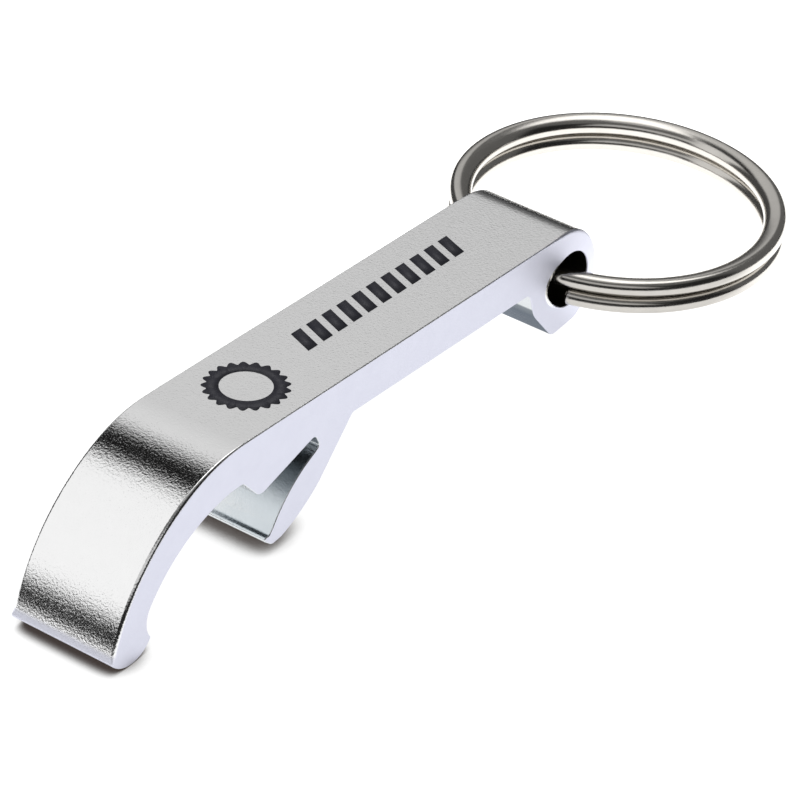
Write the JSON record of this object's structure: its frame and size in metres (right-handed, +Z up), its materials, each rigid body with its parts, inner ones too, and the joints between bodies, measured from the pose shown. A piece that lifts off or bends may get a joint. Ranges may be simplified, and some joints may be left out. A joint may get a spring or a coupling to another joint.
{
  "type": "keychain bottle opener",
  "caption": "Keychain bottle opener: a sloping aluminium bar with a curved hook, a slotted leg that levers, and a round lug that carries a steel split ring.",
  "frame": {"origin": "on the surface that it rests on, under the middle of the whole object", "axes": "+Z up, +X from the hook to the ring, +Y across the extruded profile"},
  "size_m": [0.0826, 0.028, 0.0121],
  "materials": {
    "anodised_aluminium": "satin",
    "nickel_plated_steel": "polished",
    "print_ink": "satin"
  },
  "bodies": {
    "opener": {"opener_body": "anodised_aluminium"},
    "ring": {"split_ring": "nickel_plated_steel"}
  },
  "joints": [
    {"name": "ring_swing", "type": "hinge", "parent": "opener", "child": "ring", "pos_m": [0.01507, 0.0009, 0.00425], "axis": [0, -1, 0], "range_deg": [-175, 165]}
  ]
}
